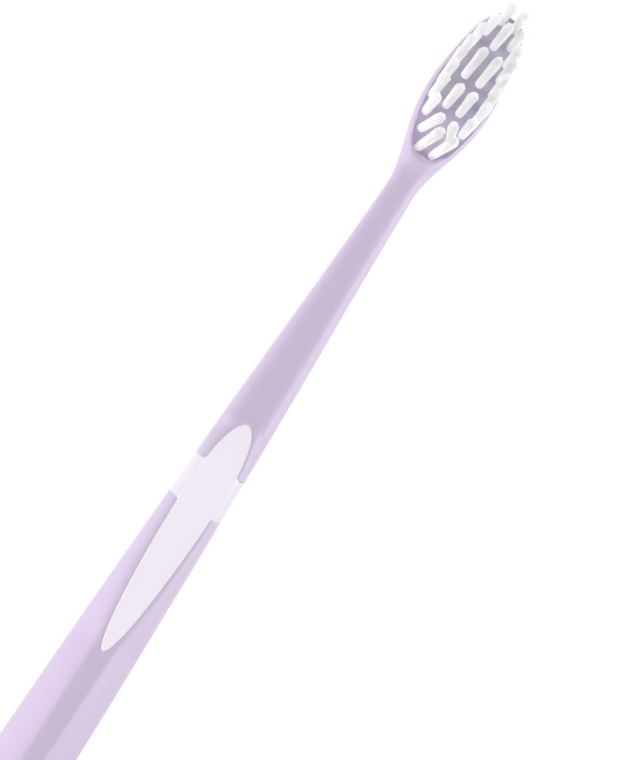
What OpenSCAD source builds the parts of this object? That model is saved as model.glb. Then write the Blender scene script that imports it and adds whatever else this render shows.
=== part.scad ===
// Manual toothbrush with a pointed oval head, a slim neck and a pale inlay in the handle.
// Lies on its flattened back: +X points to the head's tip, +Z to the bristles.
// The origin is under the middle of the brush, on the surface it lies on.
// Distances along the brush, named d or ending in _at, are measured back from the head's tip.

/* [Head] */
// Length of the head, from its tip to the slimmest place of the neck
head_len = 40.2; // [38:0.2:54]
// Length from the tip to the widest place of the head
head_front = 18.2; // [14:0.1:21]
// Width of the head at its widest
head_w = 12.2; // [11:0.1:16]
// Thickness of the head, from its back to the crown of its rim
head_h = 5; // [4.8:0.1:7]
// Depth of the bristle floor below the crown of the rim
floor_drop = 0.9; // [0.6:0.05:1.2]
// Width of the rim round the bristle floor
rim_w = 0.6; // [0.4:0.05:0.8]

/* [Neck] */
// Width of the neck at its slimmest
neck_w = 5.2; // [4:0.1:8]
// Height of the neck's front at its slimmest
neck_top = 5.9; // [5.2:0.1:8]
// How far the neck's back stands off the surface
neck_lift = 1; // [0:0.1:1.6]
// Length from the slimmest place of the neck to the pale band
neck_len = 60.1; // [50:0.1:90]

/* [Band and inlay] */
// Length of the pale band that shows at both sides
band_len = 8.2; // [5:0.1:14]
// Width of the brush at the band
band_w = 9.55; // [8.6:0.05:13]
// Height of the front at the band
band_h = 8.6; // [8.2:0.1:11]
// Angle by which the band leans back toward the handle's end
band_lean = 26; // [0:1:30]
// How far the inlay reaches past the band toward the head
inlay_up = 7.2; // [4:0.1:14]
// How far the inlay reaches past the band toward the handle's end
inlay_down = 31.2; // [20:0.2:44]
// Width of the almond shaped inlay
inlay_w = 6.5; // [4.5:0.1:7]
// Thickness of the inlay under its middle
inlay_t = 2; // [1.2:0.1:2.6]

/* [Handle] */
// Length of the handle from the band to its end
handle_len = 79.2; // [65:0.1:110]
// Width of the handle at its widest
grip_w = 12.8; // [11:0.1:18]
// Height of the handle's front at its widest
grip_h = 10.8; // [9.6:0.1:14]
// Length of the rounded end of the handle
tail_len = 10; // [6:0.5:16]
// Depth of the flat on the handle's back
back_flat = 0.5; // [0.2:0.05:0.8]
// Half width of the flat face that runs down the handle's front below the inlay
face_half = 1.7; // [0.8:0.05:1.8]
// Width of the flat face that shows beside the inlay
face_ledge = 0.4; // [0.2:0.05:0.6]

/* [Core] */
// Width of the tenon in the neck
neck_tenon_w = 4; // [2.5:0.1:5]
// Length of the tenon in the neck
neck_tenon_len = 12; // [8:0.5:24]
// Width of the tenon in the handle
grip_tenon_w = 6; // [4:0.1:7]
// Length of the tenon in the handle
grip_tenon_len = 36; // [24:0.5:50]
// Height of the tenons' underside above the surface
tenon_low = 2.4; // [1.6:0.1:3]

/* [Bristles] */
// Free length of the longest bristles above the floor
bristle_len = 13; // [9:0.5:14]
// Diameter of a tuft at its root
tuft_d = 1.7; // [1.5:0.05:1.75]
// Distance between the rows of tufts
row_pitch = 3.22; // [3:0.02:3.4]
// Distance from the head's tip to the first row
first_row = 2.3; // [2.1:0.05:2.6]
// Depth of the tuft holes below the floor
hole_depth = 3; // [2.4:0.1:3.2]
// Clearance between a tuft and the wall of its hole
tuft_gap = 0.02; // [0.01:0.01:0.05]
// Width across the corners of one strand
strand_w = 0.26; // [0.2:0.01:0.3]
// Height of the metal anchor plates
anchor_h = 1.3; // [1:0.1:1.5]
// Thickness of the anchor plates
anchor_t = 0.3; // [0.2:0.05:0.4]
// Angle at which the tufts of the row before the last lean inward
neck_row_lean = 11; // [0:1:12]

/* [Hidden] */

// Colours, by eye
lilac = [0.80, 0.74, 0.86];
pearl = [0.95, 0.92, 0.97];
nylon = [0.92, 0.94, 0.93];
brass = [0.80, 0.70, 0.45];

// One overrun for all cuts
over = 1;
// Round pieces and holes
$fn = 48;

// Places along the brush
brush_len = head_len + neck_len + band_len + handle_len;
tip_x = brush_len / 2;
band_at = head_len + neck_len;
band_end_at = band_at + band_len;
grip_at = brush_len - tail_len;
inlay_at = band_at - inlay_up;
inlay_end_at = band_end_at + inlay_down;
inlay_share = 0.318;
inlay_wide_at = inlay_at + inlay_share * (inlay_end_at - inlay_at);

// Slopes, as width or height gained along the brush
neck_spread = 0.045;
band_spread = 0.058;
neck_rise = 0.03;
band_rise = 0.045;

// Corner sharpness of the cross section, from round at 2 to square
head_square = 4;
neck_square = 2.3;
grip_square = 2.8;

// Height of the widest line of a section, as a share of its thickness
side_share = 0.55;

// Shape numbers of the outlines: higher is fuller
head_tip_bend = 1.57;
head_tip_root = 3;
shoulder_bend = 1.16;
inlay_up_bend = 2.3;
inlay_down_bend = 1.7;
tail_bend = 2.4;

// The flat face starts above the inlay's upper tip, and narrows a little toward the handle's end
face_at = inlay_at - face_ledge;
face_fade = 0.3;

// A nose too small to see closes each end
nose = rim_w / 20;
// Length over which the head's tip is rounded in height
tip_round = head_h / 2;

// Values that run along the brush

// Smooth step from 0 to 1
function ease(t) = let (u = min(1, max(0, t))) u * u * (3 - 2 * u);

// Cubic from a to b with end slopes, where t runs from 0 to 1 over length l
function cubic(t, l, a, b, slope_a, slope_b) =
    a * (2 * pow(t, 3) - 3 * pow(t, 2) + 1)
    + b * (3 * pow(t, 2) - 2 * pow(t, 3))
    + slope_a * l * (pow(t, 3) - 2 * pow(t, 2) + t)
    + slope_b * l * (pow(t, 3) - pow(t, 2));

// Share of full size left in a rounded end: 0 at the end, 1 where the rounding starts
function end_share(t, bend, root = 2) = pow(max(0, 1 - pow(1 - min(1, max(0, t)), bend)), 1 / root);

function along(d, from, to) = (d - from) / (to - from);

// Half the width of the outline
function half_w(d) =
    d < head_front ? head_w / 2 * end_share(d / head_front, head_tip_bend, head_tip_root) :
    d < head_len ?
        neck_w / 2 + (head_w - neck_w) / 2
            * pow(cos(90 * pow(along(d, head_front, head_len), shoulder_bend)), 2) :
    d < band_at ? cubic(along(d, head_len, band_at), neck_len,
        neck_w, band_w, neck_spread, band_spread) / 2 :
    d < grip_at ? cubic(along(d, band_at, grip_at), grip_at - band_at,
        band_w, grip_w, band_spread, 0) / 2 :
    grip_w / 2 * end_share(along(d, brush_len, grip_at), tail_bend);

// Height of the front along the middle, before the ends are rounded
function front_z(d) =
    d < head_len ? head_h + (neck_top - head_h) * ease(along(d, head_front, head_len)) :
    d < band_at ? cubic(along(d, head_len, band_at), neck_len,
        neck_top, band_h, neck_rise, band_rise) :
    cubic(along(min(d, grip_at), band_at, grip_at), grip_at - band_at,
        band_h, grip_h, band_rise, 0);

// Height of the back: below zero where the back is cut flat
function back_z(d) =
    d < head_len ? -back_flat + (neck_lift + back_flat) * ease(along(d, head_front, head_len)) :
    neck_lift - (neck_lift + back_flat) * ease(along(d, head_len, band_at));

// Height of the widest line
function side_z(d) = back_z(d) + side_share * (front_z(d) - back_z(d));

// Share of the height left in the rounded ends
function height_share(d) =
    d < tip_round ? end_share(d / tip_round, 2) : end_share(along(d, brush_len, grip_at), tail_bend);

// Corner sharpness
function square_at(d) =
    d < head_len ? head_square + (neck_square - head_square) * ease(along(d, head_front, head_len)) :
    neck_square + (grip_square - neck_square) * ease(along(d, head_len, band_at));

// Half the width of the inlay
function inlay_half(d) =
    d < inlay_at || d > inlay_end_at ? 0 :
    d < inlay_wide_at ? inlay_w / 2 * end_share(along(d, inlay_at, inlay_wide_at), inlay_up_bend) :
    inlay_w / 2 * end_share(along(d, inlay_end_at, inlay_wide_at), inlay_down_bend);

// Half the width of the flat face: the inlay with its ledge, then the plain strip below it
bottom_share = 0.72;
function face_half_at(d) =
    d < face_at ? 0 :
    d < inlay_wide_at ?
        (inlay_w / 2 + face_ledge) * end_share(along(d, face_at, inlay_wide_at), inlay_up_bend) :
    min(max(inlay_half(d) + (inlay_half(d) > 0 ? face_ledge : 0),
        face_half * (1 - face_fade * ease(along(d, inlay_end_at, grip_at)))), bottom_share * half_w(d));

// Corner sharpness of the front alone. From the flat face the handle's cheeks slope away at once, so
// it is low where the face is narrow, and it rises with the share of the width that the face takes
cheek_square = 1.3;
cheek_rise = 3.6;
cheek_share = 0.33;
cheek_run = inlay_w / 2;
function front_square_at(d) =
    let (into = ease((d - face_at) / cheek_run))
    (1 - into) * square_at(d)
        + into * (cheek_square + cheek_rise * max(0, face_half_at(d) / half_w(d) - cheek_share));

// Cross sections

// Heights of the front and back outline at y, for the section at d
function crown(u, n) = pow(max(0, 1 - pow(u, n)), 1 / n);
function front_at(d, y) =
    let (n = front_square_at(d), face = face_half_at(d) / half_w(d))
    side_z(d) + height_share(d) * (front_z(d) - side_z(d))
        * crown(max(abs(y) / half_w(d), face), n) / crown(face, n);
function back_at(d, y) =
    side_z(d) - height_share(d) * (side_z(d) - back_z(d))
        * crown(abs(y) / half_w(d), square_at(d));

// Points across the front and the back of half a section
edge_steps = 7;
back_steps = 6;
// Where the front has no flat face, its first points take the place of one this wide
crown_share = 0.3;

// Places across the front, from the middle out: the flat face, then the sloping cheek
function front_ys(d) =
    let (e = max(face_half_at(d), crown_share * half_w(d) * (1 - ease(along(d, face_at, grip_at)))),
        n = front_square_at(d), b = half_w(d), start = asin(pow(e / b, n / 2)))
    concat([0, e / 2],
        [for (i = [0 : edge_steps - 1]) b * pow(sin(start + (90 - start) * i / edge_steps), 2 / n)]);
function back_ys(d) =
    [for (i = [back_steps : -1 : 0]) half_w(d) * pow(sin(90 * i / back_steps), 2 / square_at(d))];

// Half a section from the middle of the front to the middle of the back
function half_ring(d) = concat(
    [for (y = front_ys(d)) [y, front_at(d, y)]],
    [for (y = back_ys(d)) [y, back_at(d, y)]]);

// Whole section at d, with its x
function ring(d) =
    let (e = min(brush_len - nose, max(nose, d)), half = half_ring(e), n = len(half))
    concat([for (p = half) [tip_x - d, p[0], p[1]]],
        [for (i = [n - 2 : -1 : 1]) [tip_x - d, -half[i][0], half[i][1]]]);

// Stations along the brush, closest together where its shape turns quickly
head_steps = 10;
shoulder_steps = 9;
neck_steps = 9;
inlay_up_steps = 8;
inlay_down_steps = 12;
grip_steps = 8;
tail_steps = 8;
stations = concat(
    [for (i = [0 : head_steps - 1]) head_front * (1 - cos(90 * i / head_steps))],
    [for (i = [0 : shoulder_steps - 1]) head_front + (head_len - head_front) * i / shoulder_steps],
    [for (i = [0 : neck_steps - 1]) head_len + (face_at - head_len) * i / neck_steps],
    [for (i = [0 : inlay_up_steps - 1])
        face_at + (inlay_wide_at - face_at) * (1 - cos(90 * i / inlay_up_steps))],
    [for (i = [0 : inlay_down_steps - 1])
        inlay_wide_at + (inlay_end_at - inlay_wide_at) * sin(90 * i / inlay_down_steps)],
    [for (i = [0 : grip_steps - 1]) inlay_end_at + (grip_at - inlay_end_at) * i / grip_steps],
    [for (i = [0 : tail_steps]) grip_at + tail_len * sin(90 * i / tail_steps)]);

// Skin of the brush from one station to the next, between two places
module skin(from, to) {
    places = [for (d = stations) if (d >= from && d <= to) d];
    rings = [for (d = places) ring(d)];
    n = len(rings[0]);
    m = len(rings);
    // A point in the middle of each end closes it
    mids = [for (d = [places[0], places[m - 1]]) [tip_x - d, 0, side_z(d)]];
    points = concat([for (r = rings) for (p = r) p], mids);
    sides = [for (j = [0 : m - 2]) for (i = [0 : n - 1]) for (half = [0, 1])
        let (a = j * n + i, b = j * n + (i + 1) % n)
        half == 0 ? [a, b, a + n] : [b, b + n, a + n]];
    ends = [for (i = [0 : n - 1]) for (end = [0, 1])
        let (a = end * (m - 1) * n + i, b = end * (m - 1) * n + (i + 1) % n)
        end == 0 ? [b, a, m * n] : [a, b, m * n + 1]];
    polyhedron(points, concat(sides, ends));
}

// Outline in a side view, extruded across the whole brush
module side_cut(outline) {
    rotate([90, 0, 0]) linear_extrude(2 * (head_w + grip_w), center = true) polygon(outline);
}

// x of the band's leaning faces at height z, for the face at distance d
function lean_x(d, z) = tip_x - d - (z - side_z(band_at)) * tan(band_lean);

// Everything above the surface on the head's side of the band
top_z = grip_h + over;
module above_band() {
    side_cut([[lean_x(band_at, 0), 0], [lean_x(band_at, top_z), top_z],
        [tip_x + over, top_z], [tip_x + over, 0]]);
}

// Everything above the surface on the handle's side of the band
module below_band() {
    side_cut([[lean_x(band_end_at, 0), 0], [lean_x(band_end_at, top_z), top_z],
        [-tip_x - over, top_z], [-tip_x - over, 0]]);
}

// The band's own slab
module band_slab() {
    side_cut([[lean_x(band_at, 0), 0], [lean_x(band_at, top_z), top_z],
        [lean_x(band_end_at, top_z), top_z], [lean_x(band_end_at, 0), 0]]);
}

// Almond shaped prism of the inlay, from its bed up
inlay_points = 16;
inlay_bed = front_at(inlay_wide_at, 0) - inlay_t;
function inlay_d(i, from, steps, bend) =
    inlay_wide_at + (from - inlay_wide_at) * pow(cos(90 * i / steps), 2 / bend);
module inlay_prism() {
    half = concat(
        [for (i = [0 : inlay_points / 2])
            let (d = inlay_d(i, inlay_at, inlay_points / 2, inlay_up_bend))
            [tip_x - d, inlay_w / 2 * sin(90 * i / (inlay_points / 2))]],
        [for (i = [inlay_points - 1 : -1 : 0])
            let (d = inlay_d(i, inlay_end_at, inlay_points, inlay_down_bend))
            [tip_x - d, inlay_w / 2 * sin(90 * i / inlay_points)]]);
    n = len(half);
    translate([0, 0, inlay_bed]) linear_extrude(top_z - inlay_bed)
        polygon(concat(half, [for (i = [n - 2 : -1 : 1]) [half[i][0], -half[i][1]]]));
}

// Tenons that run from the band into the neck and the handle, and reach up into the inlay
tenon_lap = inlay_t / 8;
module tenon(from, to, width) {
    translate([from, -width / 2, tenon_low]) cube([to - from, width, inlay_bed - tenon_low + tenon_lap]);
}
module tenons() {
    tenon(lean_x(band_end_at, inlay_bed), tip_x - band_at + neck_tenon_len, neck_tenon_w);
    tenon(tip_x - band_end_at - grip_tenon_len, lean_x(band_at, 0), grip_tenon_w);
}

// Tufts: rows are counted from the head's tip
rows = 10;
floor_z = head_h - floor_drop;
hole_d = tuft_d + 2 * tuft_gap;

// How far out each row's two outer tufts stand, as shares of the head's half width there
row_shares = [0.39, 0.575, 0.7, 0.73, 0.745, 0.74, 0.735, 0.685, 0.57, 0.345];
// Inner tufts: row number, share of the head's half width, share of the full length
inner_shares = [[6, 0.23, 0.79], [3.87, 0.25, 1], [1.5, 0, 0.85]];
// Free length of each row's bristles, as shares of the full length
length_shares = [0.7, 0.63, 0.71, 0.75, 0.79, 0.8, 0.78, 0.66, 0.745, 0.89];
// Lean of the last row, as a share of the lean of the row before it
last_lean_share = 0.7;

function row_at(i) = first_row + i * row_pitch;

// The last row leans to the right as a pair, and the two tufts of the row before it lean inward
function row_lean(i, side) =
    i == rows - 1 ? last_lean_share * neck_row_lean :
    i == rows - 2 ? side * neck_row_lean : 0;

// Each tuft as x, y, lean and share of the full length
tufts = concat(
    [for (i = [0 : rows - 1]) for (side = [1, -1])
        [tip_x - row_at(i), side * row_shares[i] * half_w(row_at(i)), row_lean(i, side),
            length_shares[i]]],
    [for (t = inner_shares) for (side = t[1] == 0 ? [1] : [1, -1])
        [tip_x - row_at(t[0]), side * t[1] * half_w(row_at(t[0])), 0, t[2]]]);

module at_tuft(t) {
    translate([t[0], t[1], floor_z]) rotate([t[2], 0, 0]) children();
}

// Recess of the bristle floor: follows the head's outline inside the rim, with an arched end at the neck
floor_margin = 3;
arch_steps = 8;
floor_at = 1.5 * rim_w;
module bristle_floor() {
    wall = row_at(rows - 1);
    out = half_w(wall) - rim_w;
    side = [for (i = [0 : head_steps + shoulder_steps])
        let (t = i / (head_steps + shoulder_steps), d = floor_at + (wall - floor_at) * (1 - cos(90 * t)))
        [tip_x - d, half_w(d) - rim_w]];
    arch = [for (i = [1 : arch_steps - 1])
        [tip_x - wall - floor_margin * sin(90 * i / arch_steps), out * cos(90 * i / arch_steps)]];
    half = concat(side, arch, [[tip_x - wall - floor_margin, 0]]);
    n = len(half);
    translate([0, 0, floor_z]) linear_extrude(head_h)
        polygon(concat(half, [for (i = [n - 2 : -1 : 0]) [half[i][0], -half[i][1]]]));
}

// Strands of one tuft: one in the middle and two rings, three sided, spread a little at the tips.
// The middle one is the longest, so that the tuft ends in a point
strand_rings = [[1, 0], [5, 0.5], [10, 1]];
strand_spread_share = 1.14;
plug_sides = 12;
strand_sides = 3;
strand_sink = strand_w;
point_len = 1.8;
golden_turn = 137.5;
strand_places = [for (r = strand_rings) for (i = [0 : r[0] - 1])
    let (reach = r[1] * (tuft_d - strand_w) / 2, turn = 360 * i / r[0] + golden_turn * r[1])
    [reach * cos(turn), reach * sin(turn), r[1] * point_len]];

module strands(free_len) {
    points = [for (k = [0 : len(strand_places) - 1]) for (top = [0, 1]) for (c = [0 : strand_sides - 1])
        let (p = strand_places[k], turn = golden_turn * k + 360 * c / strand_sides,
            s = top == 1 ? strand_spread_share : 1)
        [p[0] * s + strand_w / 2 * cos(turn), p[1] * s + strand_w / 2 * sin(turn),
            top == 1 ? free_len - p[2] : -strand_sink]];
    faces = [for (k = [0 : len(strand_places) - 1]) let (o = 2 * strand_sides * k)
        for (f = concat([[for (c = [0 : strand_sides - 1]) o + c],
            [for (c = [strand_sides - 1 : -1 : 0]) o + strand_sides + c]],
            [for (c = [0 : strand_sides - 1]) let (n = (c + 1) % strand_sides) for (half = [0, 1])
                half == 0 ? [o + c, o + strand_sides + c, o + n]
                    : [o + n, o + strand_sides + c, o + strand_sides + n]]))
            f];
    polyhedron(points, faces);
}

// Pieces

module handle() {
    color(lilac) difference() {
        intersection() {
            skin(band_at, brush_len);
            below_band();
        }
        inlay_prism();
        tenons();
    }
}

module core() {
    color(pearl) intersection() {
        skin(head_len, grip_at);
        union() {
            band_slab();
            inlay_prism();
            tenons();
        }
    }
}

module head_and_neck() {
    color(lilac) difference() {
        intersection() {
            skin(0, inlay_end_at);
            above_band();
        }
        inlay_prism();
        tenons();
        bristle_floor();
        for (t = tufts) at_tuft(t) translate([0, 0, -hole_depth]) cylinder(hole_depth + over, d = hole_d);
    }
}

module tuft_anchors() {
    color(brass) for (t = tufts) at_tuft(t) translate([-anchor_t / 2, -tuft_d / 2, -hole_depth])
        cube([anchor_t, tuft_d, anchor_h]);
}

module tuft(t) {
    color(nylon) at_tuft(t) {
        translate([0, 0, anchor_h - hole_depth])
            cylinder(hole_depth - anchor_h, d = tuft_d, $fn = plug_sides);
        strands(t[3] * bristle_len);
    }
}

// Names of the pieces
function tuft_name(i) = str("tuft_", i < 9 ? "0" : "", i + 1);

head_and_neck();
handle();
core();
tuft_anchors();
for (i = [0 : len(tufts) - 1]) tuft(tufts[i]);
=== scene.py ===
"""Looks of a manual toothbrush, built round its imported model.

Lengths in the formulas are millimetres. A place along the brush, d, is the distance back from the
head's tip, so x = half the brush's length less d. The stored properties are in metres.
"""
import math

import bmesh
import bpy
import numpy as np
from bpy.props import FloatProperty, FloatVectorProperty, IntProperty, PointerProperty
from mathutils import Matrix, Vector
from mathutils.geometry import delaunay_2d_cdt


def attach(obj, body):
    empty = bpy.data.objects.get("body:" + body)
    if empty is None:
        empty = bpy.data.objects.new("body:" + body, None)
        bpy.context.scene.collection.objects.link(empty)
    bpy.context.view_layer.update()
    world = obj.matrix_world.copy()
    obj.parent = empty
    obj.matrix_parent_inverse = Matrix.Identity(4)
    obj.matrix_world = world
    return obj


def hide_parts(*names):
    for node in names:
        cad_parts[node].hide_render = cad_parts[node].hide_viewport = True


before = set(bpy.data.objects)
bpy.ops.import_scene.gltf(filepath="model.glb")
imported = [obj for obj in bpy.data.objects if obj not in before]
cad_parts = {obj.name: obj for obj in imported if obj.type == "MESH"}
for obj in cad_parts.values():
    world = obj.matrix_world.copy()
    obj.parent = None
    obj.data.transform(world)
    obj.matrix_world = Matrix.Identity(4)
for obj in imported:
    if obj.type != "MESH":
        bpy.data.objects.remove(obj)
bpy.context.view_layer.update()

bl_info = {
    "name": "Manual Toothbrush",
    "version": (1, 0, 0),
    "blender": (4, 5, 0),
    "location": "View3D > Sidebar > Toothbrush",
    "description": "Builds the smooth mouldings, bristles and finishes of a manual toothbrush",
    "category": "Add Mesh",
}

MM = 0.001
BODY = "root"
QUARTER = math.pi / 2
# Least divisor, least distance at which points stay apart, and largest turn shaded smooth
TINY, WELD, SHARP = 1e-6, 0.002, math.radians(38.0)
# Finishes of the two lilac mouldings, of the pearl core and of the anchor plates
LILAC_FINISH = {"mottle": 0.05, "rough": 0.46, "bump": 0.25, "soft": 0.05}
PEARL_FINISH = {"mottle": 0.03, "rough": 0.4, "bump": 0.2, "soft": 0.1}
METAL_FINISH = {"mottle": 0.25, "rough": 0.3, "uneven": 0.2}


def length(name, description, millimetres):
    """A length property with its default given in millimetres."""
    return FloatProperty(name=name, description=description, default=millimetres * MM, min=0.0,
                         unit="LENGTH", subtype="DISTANCE", precision=5)


def power(name, description, watts):
    """A lamp's power property, in watts."""
    return FloatProperty(name=name, description=description, default=watts, min=0.0, unit="POWER")


def turn(name, description, degrees):
    """An angle property with its default given in degrees."""
    return FloatProperty(name=name, description=description, default=math.radians(degrees),
                         unit="ROTATION", subtype="ANGLE")


def colour(name, description, value):
    """A colour property, in linear values."""
    return FloatVectorProperty(name=name, description=description, default=value, min=0.0, max=1.0,
                               size=3, subtype="COLOR")


class BrushSizes(bpy.types.PropertyGroup):
    """Real sizes of the brush, the same as those of its solids."""
    head_len: length("Head length", "From the tip to the slimmest place of the neck", 40.2)
    head_front: length("Head front", "From the tip to the widest place of the head", 18.2)
    head_w: length("Head width", "Width of the head at its widest", 12.2)
    head_h: length("Head height", "From the back to the crown of the rim", 5.0)
    floor_drop: length("Floor drop", "Depth of the bristle floor below the crown of the rim", 0.9)
    rim_w: length("Rim width", "Width of the rim round the bristle floor", 0.6)
    neck_w: length("Neck width", "Width of the neck at its slimmest", 5.2)
    neck_top: length("Neck height", "Height of the neck's front at its slimmest", 5.9)
    neck_lift: length("Neck lift", "How far the neck's back stands off the surface", 1.0)
    neck_len: length("Neck length", "From the slimmest place of the neck to the pale band", 60.1)
    band_len: length("Band length", "Length of the pale band", 8.2)
    band_w: length("Band width", "Width of the brush at the band", 9.55)
    band_h: length("Band height", "Height of the front at the band", 8.6)
    band_lean: turn("Band lean", "Angle by which the band leans back", 26.0)
    inlay_up: length("Inlay above", "Reach of the inlay past the band toward the head", 7.2)
    inlay_down: length("Inlay below", "Reach of the inlay past the band toward the end", 31.2)
    inlay_w: length("Inlay width", "Width of the almond shaped inlay", 6.5)
    inlay_t: length("Inlay thickness", "Thickness of the inlay under its middle", 2.0)
    handle_len: length("Handle length", "From the band to the end of the handle", 79.2)
    grip_w: length("Grip width", "Width of the handle at its widest", 12.8)
    grip_h: length("Grip height", "Height of the handle's front at its widest", 10.8)
    tail_len: length("Tail length", "Length of the rounded end", 10.0)
    back_flat: length("Back flat", "Depth of the flat on the back", 0.5)
    face_half: length("Face half width", "Half width of the flat face below the inlay", 1.7)
    face_ledge: length("Face ledge", "Width of the flat face beside the inlay", 0.4)
    edge_round: length("Edge rounding", "Radius of the mouldings' small edges", 0.02)
    fork_round: length("Fork rounding", "Radius of the fork ends' inner corners", 0.5)
    seam: length("Seam", "Gap between the mouldings and the core", 0.002)
    core_sink: length("Core sink", "How far the band lies under the lilac skin", 0.005)
    inlay_rise: length("Inlay rise", "How far the inlay stands above the flat face", 0.1)
    inlay_round: length("Inlay rounding", "Radius of the inlay's edge", 0.13)
    bead_h: length("Bead height", "Height of the bead round the bristle floor's arched end", 0.65)
    dish_run: length("Dish run", "Length of the slope at the bristle floor's arched end", 2.0)
    lip_h: length("Lip height", "Height of the lip round the inlay's upper tip", 0.16)


class BristleSizes(bpy.types.PropertyGroup):
    """Real sizes of the tufts and their holes."""
    free: length("Free length", "Length of the longest bristles above the floor", 13.0)
    tuft_d: length("Tuft diameter", "Diameter of a tuft at its root", 1.7)
    hole_d: length("Hole diameter", "Diameter of a tuft hole at its mouth", 1.82)
    hole_depth: length("Hole depth", "Depth of the tuft holes below the floor", 3.0)
    row_pitch: length("Row pitch", "Distance between the rows of tufts", 3.22)
    first_row: length("First row", "Distance from the tip to the first row", 2.3)
    filament_d: length("Filament diameter", "Diameter of one nylon filament", 0.19)
    point: length("Tuft point", "How much shorter a tuft's outer filaments are", 2.2)
    row_lean: turn("Neck row lean", "Inward lean of the tufts of the row before the last", 11.0)
    filaments: IntProperty(name="Filaments", description="Filaments in each tuft", default=46,
                           min=7)


class BrushColours(bpy.types.PropertyGroup):
    """Colours of the mouldings, the bristles and the stage."""
    lilac: colour("Lilac", "Satin lilac plastic", (0.585, 0.490, 0.655))
    # Painted shade: the floor between the tufts is coloured darker for the shade of the bristles
    shaded: colour("Shaded lilac", "Floor between the tufts, in their shade",
                   (0.490, 0.438, 0.560))
    pearl: colour("Pearl", "Pearl white plastic of the core", (0.895, 0.848, 0.930))
    # Painted shade: the band's sides are coloured darker, so that the side lamps leave them short
    # of white
    pearl_side: colour("Pearl side", "The same plastic on the sides of the band",
                       (0.720, 0.675, 0.745))
    nylon_root: colour("Nylon root", "Bristles next to the floor", (0.815, 0.805, 0.815))
    nylon_tip: colour("Nylon tip", "Bristles at their tips", (0.790, 0.812, 0.796))
    # Painted light: the bristles glow to lift the shade inside the tufts, most at their roots
    root_glow: colour("Root glow", "Light carried down to the bristles' roots",
                      (0.228, 0.223, 0.228))
    tip_glow: colour("Tip glow", "Light carried to the bristles' tips", (0.040, 0.043, 0.041))
    metal: colour("Anchor metal", "Plates that hold the tufts", (0.600, 0.450, 0.170))
    paper: colour("Floor", "Pale floor under the brush", (0.900, 0.900, 0.900))


class BrushStage(bpy.types.PropertyGroup):
    """Camera and lights."""
    tilt: turn("Tilt", "Camera's tilt from straight above toward the handle", 21.82)
    side: turn("Side tilt", "Camera's tilt toward the left side of the brush", 3.17)
    roll: turn("Roll", "Turn of the picture round the line of sight", -54.33)
    distance: length("Camera distance", "From the point looked at to the camera", 600.0)
    sensor: FloatProperty(name="Sensor width", description="Width of the camera's sensor, in mm",
                          default=36.0, unit="CAMERA")
    focal_pixels: FloatProperty(name="Focal length", default=3576.7,
                                description="Focal length in pixels of the 641 pixel wide frame")
    frame_width: IntProperty(name="Frame width", description="Width of the picture, in pixels",
                             default=641)
    look_at: FloatVectorProperty(name="Look at", description="Point that the camera looks at",
                                 size=3, default=(0.01592, -0.00611, 0.005),
                                 subtype="TRANSLATION", unit="LENGTH")
    key: power("Left light", "Power of the left softbox", 4.05)
    fill: power("Right light", "Power of the right softbox", 3.45)
    rear: power("Rear light", "Power of the softbox beyond the head", 0.2)
    front: power("Front light", "Power of the softbox on the handle's side", 6.5)
    world: FloatProperty(name="Room light", description="Strength of the even light of the room",
                         default=0.35, min=0.0)
    glow: FloatProperty(name="Floor glow", default=0.32, min=0.0,
                        description="Light that the camera sees added to the floor")
    far_glow: FloatProperty(name="Far glow", description="The same light far from the lamps",
                            default=0.72, min=0.0)
    near: length("Glow start", "Distance at which the floor's glow starts to grow", 300.0)
    far: length("Glow end", "Distance at which the floor's glow is full", 900.0)


class Sizes:
    """The lengths of a property group in millimetres, its other values as they are."""

    def __init__(self, group):
        for name, prop in group.bl_rna.properties.items():
            if name in ("rna_type", "name"):
                continue
            value = getattr(group, name)
            setattr(self, name, value / MM if prop.unit == "LENGTH" else value)


def ease(t):
    """Smooth step from 0 to 1: three times the square of t less twice its cube."""
    u = np.clip(t, 0.0, 1.0)
    return u * u * (3 - 2 * u)


def cubic(t, run, a, b, slope_a, slope_b):
    """Cubic from a to b with the two end slopes, where t runs from 0 to 1 over the length run."""
    t2, t3 = t * t, t * t * t
    return (a * (2 * t3 - 3 * t2 + 1) + b * (3 * t2 - 2 * t3)
            + slope_a * run * (t3 - 2 * t2 + t) + slope_b * run * (t3 - t2))


def end_share(t, bend, root=2):
    """Share left in a rounded end: 1 less (1 - t) to the power bend, to the power 1 / root."""
    return np.maximum(0.0, 1 - (1 - np.clip(t, 0.0, 1.0)) ** bend) ** (1 / root)


def distance_to(path, d, y):
    """Shortest distance from each point (d, y) to a line of straight pieces."""
    a, b = path[:-1], path[1:]
    along, shape = b - a, d.shape
    points = np.stack([d.ravel(), y.ravel()], 1)
    best = np.full(len(points), np.inf)
    # A few thousand points at a time, to keep the arrays small
    batch = 4000
    for first in range(0, len(points), batch):
        part = points[first:first + batch, None, :] - a[None]
        t = np.clip((part * along).sum(2) / np.maximum((along * along).sum(1), 1e-12), 0, 1)
        gap = part - t[:, :, None] * along
        best[first:first + batch] = np.sqrt((gap * gap).sum(2).min(1))
    return best.reshape(shape)


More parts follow.
